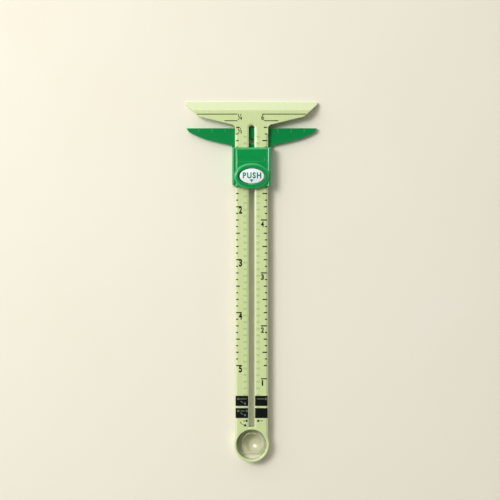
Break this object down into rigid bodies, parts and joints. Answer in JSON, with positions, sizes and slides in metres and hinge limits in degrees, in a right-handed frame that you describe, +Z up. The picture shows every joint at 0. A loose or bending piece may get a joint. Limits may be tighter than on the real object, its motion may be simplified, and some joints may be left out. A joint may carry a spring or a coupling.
{
  "type": "sewing gauge",
  "caption": "T-headed plastic sewing rule with a locking slider, measuring fingers, pencil hole and a ring with a turning pivot disc for drawing arcs.",
  "frame": {"origin": "centre of the overall outline, on the plane that the gauge lies on", "axes": "+X across the gauge to the right as the scales are read, +Y along the bar towards the T head, +Z up from the surface"},
  "size_m": [0.0636, 0.1736, 0.0083],
  "materials": {
    "yellow_green_plastic": "moulded, glossy, slightly translucent",
    "green_plastic": "moulded, glossy",
    "dark_plastic": "moulded, satin",
    "white_plastic": "moulded, glossy",
    "grey_plastic": "moulded, satin",
    "spring_steel": "drawn wire",
    "clear_plastic": "clear, polished"
  },
  "bodies": {
    "gauge": {"gauge_body": "yellow_green_plastic"},
    "slider": {"slider_base": "green_plastic", "slider_cover": "green_plastic", "guide_plate": "dark_plastic", "return_spring": "spring_steel"},
    "button": {"push_button": "white_plastic", "lock_pawl": "grey_plastic"},
    "anchor": {"anchor_disc": "clear_plastic"}
  },
  "joints": [
    {"name": "slider_slide", "type": "slide", "parent": "gauge", "child": "slider", "axis": [0, -1, 0], "range_m": [0, 0.1143]},
    {"name": "button_press", "type": "slide", "parent": "slider", "child": "button", "axis": [0, 0, -1], "range_m": [0, 0.0007], "stiffness_N_per_m": 1000, "springref_m": -0.001, "deforming": ["return_spring"]},
    {"name": "anchor_turn", "type": "hinge", "parent": "gauge", "child": "anchor", "pos_m": [0, -0.07835, 0], "axis": [0, 0, 1], "continuous": true}
  ]
}
